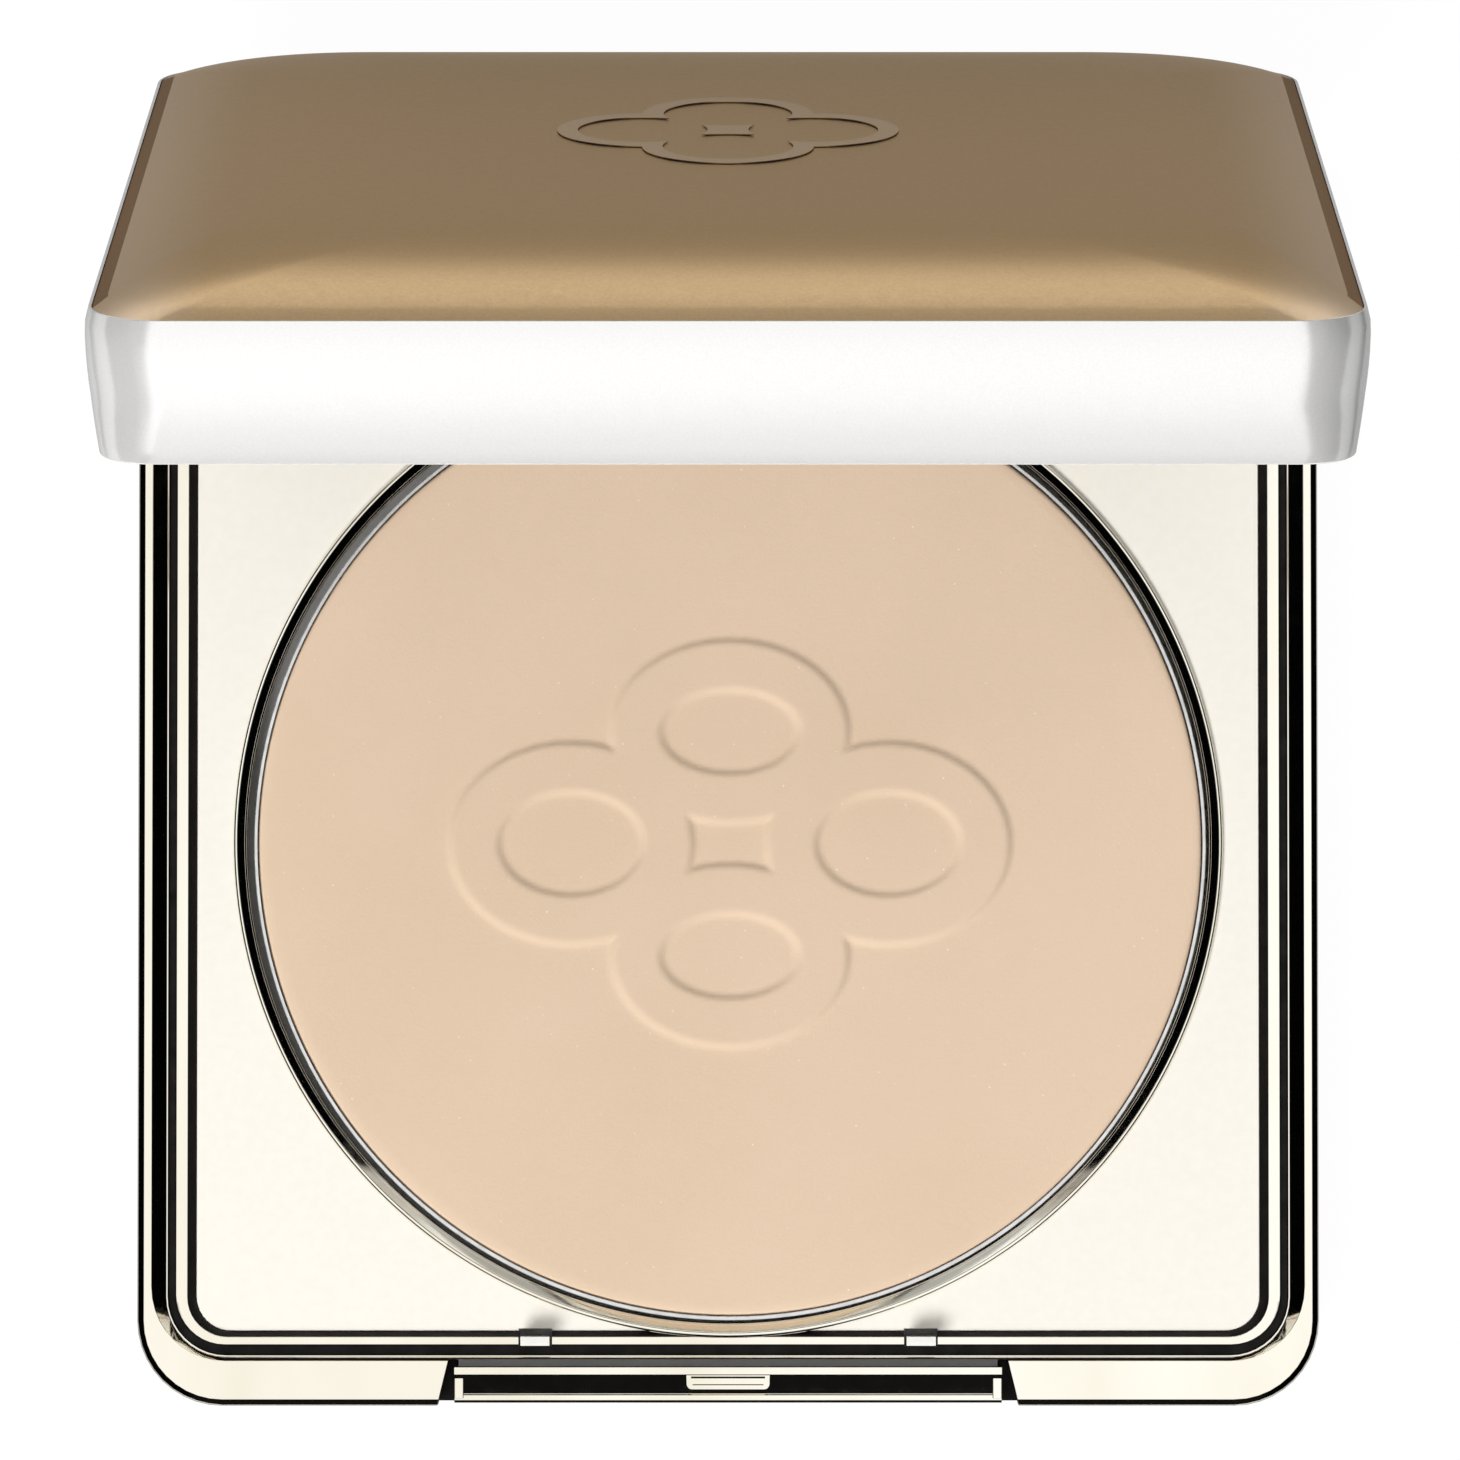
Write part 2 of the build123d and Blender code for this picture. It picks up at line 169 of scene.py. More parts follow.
tree.links.new(paper.outputs["Background"], either.inputs[2])
output = tree.nodes.new("ShaderNodeOutputWorld")
tree.links.new(either.outputs["Shader"], output.inputs["Surface"])
bpy.context.scene.view_settings.view_transform = "Standard"
bpy.context.scene.view_settings.look = "None"
print("light bands:", len(BANDS))

# %% [markdown]
# ## Soft light from above
# One large panel over the table, to the front left, lights the powder and the deck and gives the relief a
# gentle direction that an even sky would not. Metal does not mirror it.

# %% Overhead panel
panel_data = bpy.data.lights.new("panel", "AREA")
panel_data.shape = "RECTANGLE"
panel_data.size, panel_data.size_y = 0.7, 0.5
panel_data.energy = 17
panel = bpy.data.objects.new("panel", panel_data)
bpy.context.scene.collection.objects.link(panel)
panel.location = (-0.5, -0.8, 1.0)
panel.rotation_euler = (-Vector(panel.location)).to_track_quat("-Z", "Y").to_euler()
panel.visible_glossy = False
print("panel power", panel_data.energy)

# %% [markdown]
# ## Drawing helpers
# Nearly every outline of a compact is a rectangle with rounded corners. One helper draws it as a closed
# line of edges: a grid of one face is sized, its four corners are bevelled, and the face is let go.
# A second helper skins a row of such lines with bridge_loops, the way a boat's hull is laid over ribs.

# %% Rounded outlines and skins
def rounded_line(work, half_x, y_front, y_back, radius, z, steps=10):
    """Rounded rectangle as a closed line of edges at height z."""
    corners = bmesh.ops.create_grid(work, x_segments=1, y_segments=1, size=1)["verts"]
    bmesh.ops.scale(work, vec=(half_x, (y_back - y_front) / 2, 1), verts=corners)
    bmesh.ops.translate(work, vec=(0, (y_front + y_back) / 2, z), verts=corners)
    known = set(work.faces) - set(corners[0].link_faces)
    bmesh.ops.bevel(work, geom=corners, offset=radius, offset_type="OFFSET", affect="VERTICES",
                    segments=steps, profile=0.5, material=-1)
    face = [face for face in work.faces if face not in known]
    line = list(face[0].edges)
    bmesh.ops.delete(work, geom=face, context="FACES_ONLY")
    return line


def skin(work, lines, closed=False):
    """Skins a row of outlines; a closed row is a ring, and an open one is capped at its ends."""
    for lower, upper in zip(lines, lines[1:]):
        bmesh.ops.bridge_loops(work, edges=lower + upper)
    if closed:
        bmesh.ops.bridge_loops(work, edges=lines[-1] + lines[0])
        return
    for line in (lines[0], lines[-1]):
        bmesh.ops.edgeloop_fill(work, edges=line)


STOREY = 100.0


def stack(sections, closed=False):
    """New mesh from rounded rectangles: half width, front, back, corner radius, height.

    Each outline is skinned on a storey of its own, far above the last, because bridge_loops can twist
    between two outlines in one plane. Then each is let down to its true height."""
    work = bmesh.new()
    lines = [rounded_line(work, *outline, storey * STOREY) for storey, (*outline, _) in enumerate(sections)]
    levels = [list({vert for edge in line for vert in edge.verts}) for line in lines]
    skin(work, lines, closed)
    for storey, (level, section) in enumerate(zip(levels, sections)):
        bmesh.ops.translate(work, vec=(0, 0, section[-1] - storey * STOREY), verts=level)
    bmesh.ops.recalc_face_normals(work, faces=work.faces)
    return work


def soften(work, width, segments=2, limit=30, where=lambda edge: True):
    """Rounds the edges whose faces meet at more than the limit, in degrees."""
    sharp = [edge for edge in work.edges
             if edge.is_manifold and edge.calc_face_angle(0) > math.radians(limit) and where(edge)]
    bmesh.ops.bevel(work, geom=sharp, offset=width, offset_type="OFFSET", affect="EDGES",
                    segments=segments, profile=0.5, material=-1, clamp_overlap=True)
    return work


def middle(edge):
    """The point half way along an edge."""
    return (edge.verts[0].co + edge.verts[1].co) / 2


def block(x_low, x_high, y_low, y_high, z_low, z_high):
    """Plain box, used as a cutter or joined to a piece."""
    work = bmesh.new()
    bmesh.ops.create_cube(work, size=1)
    bmesh.ops.scale(work, vec=(x_high - x_low, y_high - y_low, z_high - z_low), verts=work.verts)
    centre = ((x_low + x_high) / 2, (y_low + y_high) / 2, (z_low + z_high) / 2)
    bmesh.ops.translate(work, vec=centre, verts=work.verts)
    return work


def cylinder(radius, length, sides):
    """Upright cylinder round the drawing's zero."""
    work = bmesh.new()
    bmesh.ops.create_cone(work, cap_ends=True, segments=sides, radius1=radius, radius2=radius, depth=length)
    return work


def rod(x_low, x_high, radius, sides=40):
    """Cylinder along the hinge axis."""
    work = cylinder(radius, x_high - x_low, sides)
    bmesh.ops.rotate(work, cent=(0, 0, 0), matrix=Matrix.Rotation(math.pi / 2, 3, "Y"), verts=work.verts)
    bmesh.ops.translate(work, vec=((x_low + x_high) / 2, HINGE_Y, HINGE_Z), verts=work.verts)
    return work


def drum(radius, z_low, z_high, y, sides=180):
    """Upright cylinder between two heights."""
    work = cylinder(radius, z_high - z_low, sides)
    bmesh.ops.translate(work, vec=(0, y, (z_low + z_high) / 2), verts=work.verts)
    return work


def turned(section, steps=180, x=0.0, y=0.0):
    """Closed section of (radius, height) points, spun full circle as on a lathe."""
    work = bmesh.new()
    points = [work.verts.new((radius, 0, z)) for radius, z in section]
    edges = [work.edges.new(pair) for pair in zip(points, points[1:] + points[:1])]
    bmesh.ops.spin(work, geom=points + edges, cent=(0, 0, 0), axis=(0, 0, 1), dvec=(0, 0, 0),
                   angle=2 * math.pi, steps=steps, use_merge=True, use_duplicate=False)
    bmesh.ops.remove_doubles(work, verts=work.verts, dist=1e-5)
    bmesh.ops.recalc_face_normals(work, faces=work.faces)
    bmesh.ops.translate(work, vec=(x, y, 0), verts=work.verts)
    return work


print("helpers ready")

# %% [markdown]
# ## Cutting and joining
# A recess or a hinge gap is easiest as a cut. The cutter is its own small mesh, and the Boolean modifier is
# applied at once, so what is left is one plain closed mesh.

# %% Boolean with a bmesh cutter
def temporary(work, name):
    """Object that holds a bmesh for a moment."""
    mesh = bpy.data.meshes.new(name)
    work.to_mesh(mesh)
    work.free()
    holder = bpy.data.objects.new(name, mesh)
    bpy.context.scene.collection.objects.link(holder)
    return holder


def combine(work, other, operation):
    """Cuts away or joins another mesh and gives back one bmesh."""
    body, tool = temporary(work, "work"), temporary(other, "tool")
    boolean = body.modifiers.new("cut", "BOOLEAN")
    boolean.operation = operation
    boolean.solver = "EXACT"
    boolean.object = tool
    evaluated = body.evaluated_get(bpy.context.evaluated_depsgraph_get())
    result = bmesh.new()
    result.from_mesh(evaluated.to_mesh())
    evaluated.to_mesh_clear()
    for holder in (body, tool):
        mesh = holder.data
        bpy.data.objects.remove(holder)
        bpy.data.meshes.remove(mesh)
    return result


def cut(work, *others):
    for other in others:
        work = combine(work, other, "DIFFERENCE")
    return work


def join(work, *others):
    for other in others:
        work = combine(work, other, "UNION")
    return work


# %% [markdown]
# ## Putting a piece in its place
# The last step is the same for all pieces. The mesh is scaled to metres, a lid piece is turned open round
# the pin, sharp edges are marked so that flats stay flat, and the CAD node it stands for is hidden.

# %% Finish a piece
def place(work, name, body, node, material, slot, sharp=35, second=None, second_on=lambda face: False):
    """Makes the bmesh an object that rides on a body and replaces a CAD node.

    Faces picked by second_on, on the drawing, get the second finish."""
    for face in work.faces:
        face.material_index = 1 if second and second_on(face) else 0
    if body == "lid":
        bmesh.ops.rotate(work, cent=(0, HINGE_Y, HINGE_Z), verts=work.verts,
                         matrix=Matrix.Rotation(math.radians(-OPEN_ANGLE), 3, "X"))
    bmesh.ops.translate(work, vec=(0, SHIFT, 0), verts=work.verts)
    bmesh.ops.scale(work, vec=(MM, MM, MM), verts=work.verts)
    for face in work.faces:
        face.smooth = True
    for edge in work.edges:
        edge.smooth = edge.is_manifold and edge.calc_face_angle(0) < math.radians(sharp)
    triangles = sum(len(face.verts) - 2 for face in work.faces)
    open_edges = sum(not edge.is_manifold for edge in work.edges)
    volume = work.calc_volume(signed=True) / MM ** 3
    mesh = bpy.data.meshes.new(name)
    work.to_mesh(mesh)
    work.free()
    mesh.materials.append(material)
    if second:
        mesh.materials.append(second)
    piece = bpy.data.objects.new(name, mesh)
    bpy.context.scene.collection.objects.link(piece)
    weighted = piece.modifiers.new("flats", "WEIGHTED_NORMAL")
    weighted.keep_sharp = True
    weighted.weight = 50
    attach(piece, body)
    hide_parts(node)
    print(f"{name}: {triangles} triangles, {open_edges} open edges, {volume:.0f} mm3, "
          f"{[round(side / MM, 2) for side in piece.dimensions]} mm")


# %% [markdown]
# ## Finishes
# Each finish is one Principled shader with constants on its sockets, plus noise that moves its colour, its
# roughness and its surface by small amounts at the size the real process leaves.

# %% Finish helpers
def finish(name, **sockets):
    """Principled material; sockets are its constants."""
    material = bpy.data.materials.new(name)
    tree = node_tree(material)
    shader = tree.nodes.new("ShaderNodeBsdfPrincipled")
    for socket, value in sockets.items():
        shader.inputs[socket.replace("_", " ")].default_value = value
    output = tree.nodes.new("ShaderNodeOutputMaterial")
    tree.links.new(shader.outputs["BSDF"], output.inputs["Surface"])
    return material, tree, shader


def stretched(tree, scale=(1, 1, 1), turn=(0, 0, 0)):
    """Object coordinates, stretched and turned."""
    coordinates = tree.nodes.new("ShaderNodeTexCoord")
    mapping = tree.nodes.new("ShaderNodeMapping")
    mapping.inputs["Scale"].default_value = scale
    mapping.inputs["Rotation"].default_value = turn
    tree.links.new(coordinates.outputs["Object"], mapping.inputs["Vector"])
    return mapping.outputs["Vector"]


def noise(tree, vector, scale, detail=3.0, rough=0.5):
    """Noise of about 0 to 1."""
    node = tree.nodes.new("ShaderNodeTexNoise")
    node.inputs["Scale"].default_value = scale
    node.inputs["Detail"].default_value = detail
    node.inputs["Roughness"].default_value = rough
    tree.links.new(vector, node.inputs["Vector"])
    return node.outputs["Fac"]


def between(tree, value, low, high):
    """Maps a noise of 0.3 to 0.7 on to a range."""
    node = tree.nodes.new("ShaderNodeMapRange")
    for socket, level in (("From Min", 0.3), ("From Max", 0.7), ("To Min", low), ("To Max", high)):
        node.inputs[socket].default_value = level
    tree.links.new(value, node.inputs["Value"])
    return node.outputs["Result"]


def bump(tree, shader, heights, depth):
    """Adds surface relief, depth in metres."""
    node = tree.nodes.new("ShaderNodeBump")
    node.inputs["Distance"].default_value = depth
    node.inputs["Strength"].default_value = 1.0
    tree.links.new(heights, node.inputs["Height"])
    tree.links.new(node.outputs["Normal"], shader.inputs["Normal"])


def two_tone(tree, shader, value, low, high):
    """Moves the base colour between two near tones."""
    tree.links.new(ramp(tree, value, [(0.32, low), (0.68, high)]), shader.inputs["Base Color"])


def roughen(tree, shader, value, low, high):
    """Moves the roughness over a range."""
    tree.links.new(between(tree, value, low, high), shader.inputs["Roughness"])


def mixed(tree, factor, under, over):
    """Lays a plain colour over another one by a factor."""
    node = tree.nodes.new("ShaderNodeMix")
    node.data_type = "RGBA"
    node.inputs["B"].default_value = (*over, 1)
    tree.links.new(factor, node.inputs["Factor"])
    tree.links.new(under, node.inputs["A"])
    return node.outputs["Result"]


# %% [markdown]
# ### Champagne plating
# The frame, the ring and the button are vacuum plated plastic: a mirror with a faint straw tint, and the
# slightly uneven skin of a moulding, which bends straight reflections a little. The fine gaps and recesses
# are painted nearly black instead, as painted shade.

# %% Champagne plating
champagne, tree, shader = finish("champagne_plating", Metallic=1.0, Specular_IOR_Level=0.5)
flow = noise(tree, stretched(tree, (1, 0.25, 1)), 90, 3)
two_tone(tree, shader, flow, (0.80, 0.75, 0.62), (0.93, 0.90, 0.80))
roughen(tree, shader, noise(tree, stretched(tree), 900, 2), 0.04, 0.11)
bump(tree, shader, noise(tree, stretched(tree), 160, 2), 0.00003)

# Near-black painted shade for the fine gaps, the recess walls and the room behind the button.
painted_shade, tree, shader = finish("painted_shade", Specular_IOR_Level=0.2)
two_tone(tree, shader, noise(tree, stretched(tree), 700, 4), (0.002, 0.0016, 0.0012), (0.007, 0.005, 0.004))
roughen(tree, shader, noise(tree, stretched(tree), 900, 3), 0.4, 0.6)
bump(tree, shader, noise(tree, stretched(tree), 2200, 3), 0.000005)

# %% [markdown]
# ### Pearl
# The lid's wall is gloss plastic with pearl pigment. Fine flakes give a slow cloudiness under a clear coat.

# %% Pearl
pearl, tree, shader = finish("pearl", Coat_Weight=0.4, Coat_Roughness=0.08, Metallic=0.4)
two_tone(tree, shader, noise(tree, stretched(tree), 9000, 3), (0.83, 0.82, 0.81), (0.88, 0.875, 0.87))
roughen(tree, shader, noise(tree, stretched(tree), 1500, 3), 0.16, 0.22)
bump(tree, shader, noise(tree, stretched(tree), 6000, 2), 0.0000004)

# %% [markdown]
# ### Satin gold
# The cover is lacquered over a metal film. The lacquer is matt enough to blur what it mirrors into bands.
# Towards the left and right edges its colour is painted paler, as a painted highlight.

# %% Satin gold
def satin(name, low, high, edge_tint, coat=0.35):
    """Matt lacquer over a metal film; edge_tint is its colour at a glancing look."""
    material, tree, shader = finish(name, Metallic=0.95, Specular_Tint=(*edge_tint, 1),
                                    Coat_Weight=coat, Coat_Roughness=0.35)
    two_tone(tree, shader, noise(tree, stretched(tree), 5200, 4), low, high)
    roughen(tree, shader, noise(tree, stretched(tree), 2400, 3), 0.29, 0.34)
    bump(tree, shader, noise(tree, stretched(tree), 9000, 2), 0.0000003)
    return material, tree, shader


GLANCING_GOLD = (0.75, 0.6, 0.42)
satin_gold, tree, shader = satin("satin_gold", (0.425, 0.29, 0.15), (0.465, 0.325, 0.175), GLANCING_GOLD)
place_on = tree.nodes.new("ShaderNodeSeparateXYZ")
tree.links.new(stretched(tree), place_on.inputs["Vector"])
to_the_side = maths(tree, "MULTIPLY", maths(tree, "ABSOLUTE", place_on.outputs["X"]), 1 / 0.036)
# The cover's left and right edges are painted paler: a painted highlight.
painted_side_light = ramp(tree, to_the_side, [(0.78, grey(0.0)), (0.97, grey(0.75))], "EASE")
gold_tone = shader.inputs["Base Color"].links[0].from_socket
tree.links.new(mixed(tree, painted_side_light, gold_tone, (0.62, 0.51, 0.40)), shader.inputs["Base Color"])
# A darker, less coated finish for the cover's side bevels: a painted dark reflection, seen as a brown line.
painted_dark_reflection = satin("painted_dark_reflection", (0.41, 0.28, 0.17), (0.46, 0.32, 0.20), (0.35, 0.26, 0.18), 0.1)[0]

# %% [markdown]
# ### Foil, cream plastic and case
# The ornament is hot foil, a little lighter than the cover. The deck is cream plastic with a
# low sheen, and the case under it is the same pearl white as the lid but sees more wear, so it is duller.

# %% Foil, deck and case
foil = satin("foil", (0.50, 0.39, 0.28), (0.56, 0.45, 0.33), GLANCING_GOLD)[0]

cream, tree, shader = finish("cream_deck", Coat_Weight=0.12, Coat_Roughness=0.2)
two_tone(tree, shader, noise(tree, stretched(tree), 1800, 4), (0.915, 0.87, 0.78), (0.935, 0.895, 0.81))
roughen(tree, shader, noise(tree, stretched(tree), 1200, 3), 0.32, 0.42)
bump(tree, shader, noise(tree, stretched(tree), 2500, 3), 0.000004)

case_white, tree, shader = finish("case", Coat_Weight=0.3, Coat_Roughness=0.15)
two_tone(tree, shader, noise(tree, stretched(tree), 1900, 4), (0.84, 0.82, 0.79), (0.89, 0.875, 0.85))
roughen(tree, shader, noise(tree, stretched(tree), 130, 4), 0.28, 0.42)
bump(tree, shader, noise(tree, stretched(tree), 1500, 3), 0.000004)

# %% [markdown]
# ### Pressed powder
# Powder is pressed through a fine cloth, which leaves a diagonal grain. It has no gloss at all, its colour
# is cloudy where the pigment clumps, and a few mica specks catch the light.

# %% Pressed powder
powder, tree, shader = finish("pressed_powder", Roughness=0.95, Specular_IOR_Level=0.12)
clouds = noise(tree, stretched(tree), 60, 5)
tone = ramp(tree, clouds, [(0.35, (0.735, 0.565, 0.41)), (0.65, (0.765, 0.59, 0.435))])
cloth = tree.nodes.new("ShaderNodeTexWave")
cloth.inputs["Scale"].default_value = 420
cloth.inputs["Distortion"].default_value = 1.2
cloth.inputs["Detail"].default_value = 2
cloth.inputs["Detail Scale"].default_value = 2
tree.links.new(stretched(tree, turn=(0, 0, math.radians(42))), cloth.inputs["Vector"])
grains = noise(tree, stretched(tree), 5200, 4, 0.7)
cloth_and_grains = maths(tree, "MULTIPLY_ADD", cloth.outputs["Fac"], 0.35, grains)
flakes = noise(tree, stretched(tree), 4200, 0)
specks = ramp(tree, flakes, [(0.0, grey(0)), (0.84, grey(0)), (0.88, grey(0.6))])
tree.links.new(mixed(tree, specks, tone, (0.95, 0.86, 0.74)), shader.inputs["Base Color"])
bump(tree, shader, cloth_and_grains, 0.00002)

# %% [markdown]
# ### Small metals and hidden plastics
# The pan is drawn sheet, the mirror is silvered glass, the pins and springs are drawn wire, the slider is
# slick natural acetal and the tapes are foam. They share one recipe: a tone, a roughness and a fine grain.

# %% Small finishes
def grained(name, low, high, rough, scale, stretch=(1, 1, 1), depth=0.000003, **sockets):
    """Finish from two tones, a roughness range, and a noise size."""
    material, tree, shader = finish(name, **sockets)
    two_tone(tree, shader, noise(tree, stretched(tree, stretch), scale, 4), low, high)
    roughen(tree, shader, noise(tree, stretched(tree, stretch), scale * 1.7, 3), *rough)
    bump(tree, shader, noise(tree, stretched(tree, stretch), scale * 2.5, 3), depth)
    return material


pan_metal = grained("pan_metal", grey(0.66), grey(0.76), (0.2, 0.34), 900, Metallic=1.0)
mirror_glass = grained("mirror_glass", grey(0.9), grey(0.93), (0.0, 0.015), 40, depth=0.0, Metallic=1.0)
pin_steel = grained("pin_steel", grey(0.5), grey(0.62), (0.22, 0.35), 1400, (1, 12, 12), Metallic=1.0)
spring_steel = grained("spring_steel", grey(0.48), grey(0.6), (0.2, 0.3), 2600, Metallic=1.0)
acetal = grained("latch_plastic", (0.83, 0.82, 0.77), (0.87, 0.86, 0.81), (0.3, 0.4), 1500)
foam = grained("adhesive", grey(0.74), grey(0.84), (0.8, 0.95), 3800, depth=0.00004)

CARRIED = {
    "pan_adhesive": foam, "plate_adhesive": foam, "mirror_adhesive": foam,
    "left_hinge_pin": pin_steel, "right_hinge_pin": pin_steel,
    "left_latch_spring": spring_steel, "right_latch_spring": spring_steel,
    "latch_slider": acetal, "lid_ornament": foil}
for node, material in CARRIED.items():
    carried = frame["nodes"][node]
    carried.data.materials.clear()
    carried.data.materials.append(material)
print("finishes:", len(bpy.data.materials))

# %% [markdown]
# ## Plated frame
# One moulding goes round the top of the base. From outside in it has a flat flange, a slope, a fine groove,
# a flat ledge for the lid's rim, and a slope down to the deck. Each flat and each slope is one outline
# further in, so the ring is a closed row of outlines. The outer edge is a chamfer in two steps: the second
# one mirrors the dark horizon as a thin black line. Small rounds on the edges give the fine light lines.

# %% Frame ring
PAN_Y = -1.65
FLANGE_TOP, LEDGE_TOP, GROOVE_BOTTOM, DECK_TOP, DECK_BOTTOM, FRAME_BOTTOM = 6.4, 5.7, 5.35, 5.2, 4.6, 2.8
frame_ring = stack([
    # half width, front, back, corner radius, height
    (HALF, FRONT, BACK, 5.3, FRAME_BOTTOM),                        # outer wall
    (HALF, FRONT, BACK, 5.3, 6.05),
    (HALF - 0.12, FRONT + 0.12, BACK - 0.12, 5.2, 6.18),           # chamfer
    (HALF - 0.42, FRONT + 0.42, BACK - 0.42, 4.9, 6.39),
    (35.85, -33.95, BACK - 0.9, 4.6, FLANGE_TOP),                  # slope down to the ledge
    (34.97, -33.72, BACK - 1.3, 3.7, LEDGE_TOP),
    (34.87, -33.63, BACK - 1.5, 3.65, LEDGE_TOP),                  # groove
    (34.83, -33.60, BACK - 1.6, 3.6, GROOVE_BOTTOM),
    (34.42, -33.0, BACK - 2.05, 3.1, GROOVE_BOTTOM),
    (34.36, -32.95, BACK - 2.1, 3.05, LEDGE_TOP),                  # ledge
    (33.65, -32.5, BACK - 2.45, 2.5, LEDGE_TOP),
    (33.15, -32.15, BACK - 2.9, 2.2, DECK_TOP),                    # slope and wall at the deck
    (33.15, -32.15, BACK - 2.9, 2.2, DECK_BOTTOM),
    (35.55, -35.55, BACK - 1.2, 4.15, DECK_BOTTOM),                # inner wall, over the case
    (35.55, -35.55, BACK - 1.2, 4.15, FRAME_BOTTOM),
], closed=True)
soften(frame_ring, 0.03, 2, where=lambda edge: middle(edge).z > 5.0)

# %% [markdown]
# The button's recess, the hook slots, the low back rim and the hinge are cut and joined afterwards. The
# recess widens towards the front. The lid's back wall comes down where the rim is low.

# %% Frame cuts and hinge knuckles
KNUCKLE, SWING, BORE = 1.45, 1.70, 0.61      # radii: knuckle, room it turns in, hole for the pin
BASE_KNUCKLES, LID_KNUCKLES = ((-10, 10), (-22, -18), (18, 22)), ((-18, -10), (10, 18))
PIN_HOLES = ((-23, -7), (7, 23))
RECESS_HALF, RECESS_BACK, RECESS_SPREAD = 17.4, -33.85, 1.055
SLOT_X, SLOT_HALF, SLOT_FRONT, SLOT_BACK = 12, 1.05, -33.06, -31.97
LOW_BACK, LOW_BACK_TOP = 3.6, 5.6


def hook_slots(z_low, z_high):
    """Cutters for the two slots that the latch hooks come up through."""
    return [block(side * SLOT_X - SLOT_HALF, side * SLOT_X + SLOT_HALF, SLOT_FRONT, SLOT_BACK, z_low, z_high)
            for side in (-1, 1)]


recess = block(-RECESS_HALF, RECESS_HALF, FRONT - 1, RECESS_BACK, FRAME_BOTTOM - 1, FLANGE_TOP + 1)
recess_front = [vert for vert in recess.verts if vert.co.y < FRONT]
bmesh.ops.scale(recess, vec=(RECESS_SPREAD, 1, 1), verts=recess_front)
low_back = block(-HALF - 1, HALF + 1, BACK - LOW_BACK, BACK + 1, LOW_BACK_TOP, FLANGE_TOP + 1)
ring_notch = drum(30.9, DECK_TOP - 0.05, LEDGE_TOP + 1, y=PAN_Y)
frame_ring = cut(frame_ring, recess, *hook_slots(DECK_BOTTOM - 1, FLANGE_TOP), low_back, ring_notch)
feet = [block(low, high, BACK - 1.15, HINGE_Y + 1.0, DECK_BOTTOM, HINGE_Z) for low, high in BASE_KNUCKLES]
knuckles = [rod(low, high, KNUCKLE) for low, high in BASE_KNUCKLES]
gaps = [rod(low, high, SWING) for low, high in LID_KNUCKLES]
bores = [rod(low, high, BORE) for low, high in PIN_HOLES]
frame_ring = cut(join(frame_ring, *feet, *knuckles), *gaps, *bores)


def painted_shade_faces(face):
    """Groove, the slope to the deck and the recess walls, which get the near-black painted shade."""
    x, y, z = face.calc_center_median()
    in_groove = DECK_TOP - 0.02 < z < LEDGE_TOP - 0.02 and y < BACK - 2
    in_recess = abs(x) < RECESS_HALF + 1.2 and FRONT + 0.7 < y < RECESS_BACK + 0.01
    return in_groove or (in_recess and abs(face.normal.z) < 0.3 and z < FLANGE_TOP - 0.02)


place(frame_ring, "plated_frame", "base", "base_frame", champagne, "champagne_plating",
      second=painted_shade, second_on=painted_shade_faces)

# %% [markdown]
# ## Case
# The white tray under the frame has a rounded foot, a straight wall inside the frame and a flat floor that
# the pan is glued to. A fine ring is moulded into its underside.

# %% Case tray
CASE_CORNER, FOOT, FLOOR, SHELF = 5.1, 0.9, 1.5, 4.5


def foot_line(turn):
    """One outline of the rounded foot, from the underside (0) to the wall (90 degrees)."""
    inset = FOOT * (1 - math.sin(turn))
    return (HALF - CASE_IN - inset, FRONT + CASE_IN + inset, BACK - CASE_IN - inset, CASE_CORNER - inset,
            FOOT * (1 - math.cos(turn)))


tray_lines = [foot_line(math.radians(15 * step)) for step in range(7)]
tray = stack(tray_lines + [
    (HALF - CASE_IN, FRONT + CASE_IN, BACK - CASE_IN, CASE_CORNER, FRAME_BOTTOM - 0.02),
    (35.5, -35.5, BACK - 1.25, 4.1, FRAME_BOTTOM - 0.02),          # wall inside the frame
    (35.5, -35.5, BACK - 1.25, 4.1, SHELF),
    (34.05, -34.05, BACK - 2.7, 2.7, SHELF),                       # room for the pan
    (34.05, -34.05, BACK - 2.7, 2.7, FLOOR)])
moulded_ring = turned([(24.0, -0.5), (24.6, -0.5), (24.6, 0.2), (24.0, 0.2)], y=DEEPER / 2)
BUTTON_ROOM_BACK = -28.8
button_room = block(-17.6, 17.6, FRONT - 1, BUTTON_ROOM_BACK, FRAME_BOTTOM - 0.03, 6)
end_room = block(-18.6, 18.6, FRONT - 1, -33.7, FRAME_BOTTOM - 0.3, 6)
hinge_room = [rod(low, high, KNUCKLE + 0.05) for low, high in BASE_KNUCKLES]
hinge_room += [rod(low, high, SWING) for low, high in LID_KNUCKLES]
tray = cut(tray, moulded_ring, button_room, end_room, *hinge_room)


def behind_button(face):
    """Floor and walls of the room that the button slides in, which get the near-black painted shade."""
    x, y, z = face.calc_center_median()
    in_room = abs(x) < 18.7 and FRONT + 0.6 < y < BUTTON_ROOM_BACK + 0.1
    return in_room and z > FLOOR + 0.1 and face.normal.z > -0.5


place(tray, "white_case", "base", "base_case", case_white, "case", second=painted_shade, second_on=behind_button)

# %% [markdown]
# ## Deck, ring and pan
# The cream deck is a thin sheet with a round opening. The plated ring drops into the opening and hides its
# edge; it is a turned section. The pan below is a shallow drawn tray, seen only as a thin rim.

# %% Deck
deck = stack([(33.1, -32.1, BACK - 2.95, 2.15, height) for height in (DECK_BOTTOM, DECK_TOP)])
soften(deck, 0.04, 1)
deck = cut(deck, drum(30.2, 4, 6, y=PAN_Y, sides=240), *hook_slots(4, 6))
place(deck, "cream_deck_plate", "base", "deck_plate", cream, "cream_deck")

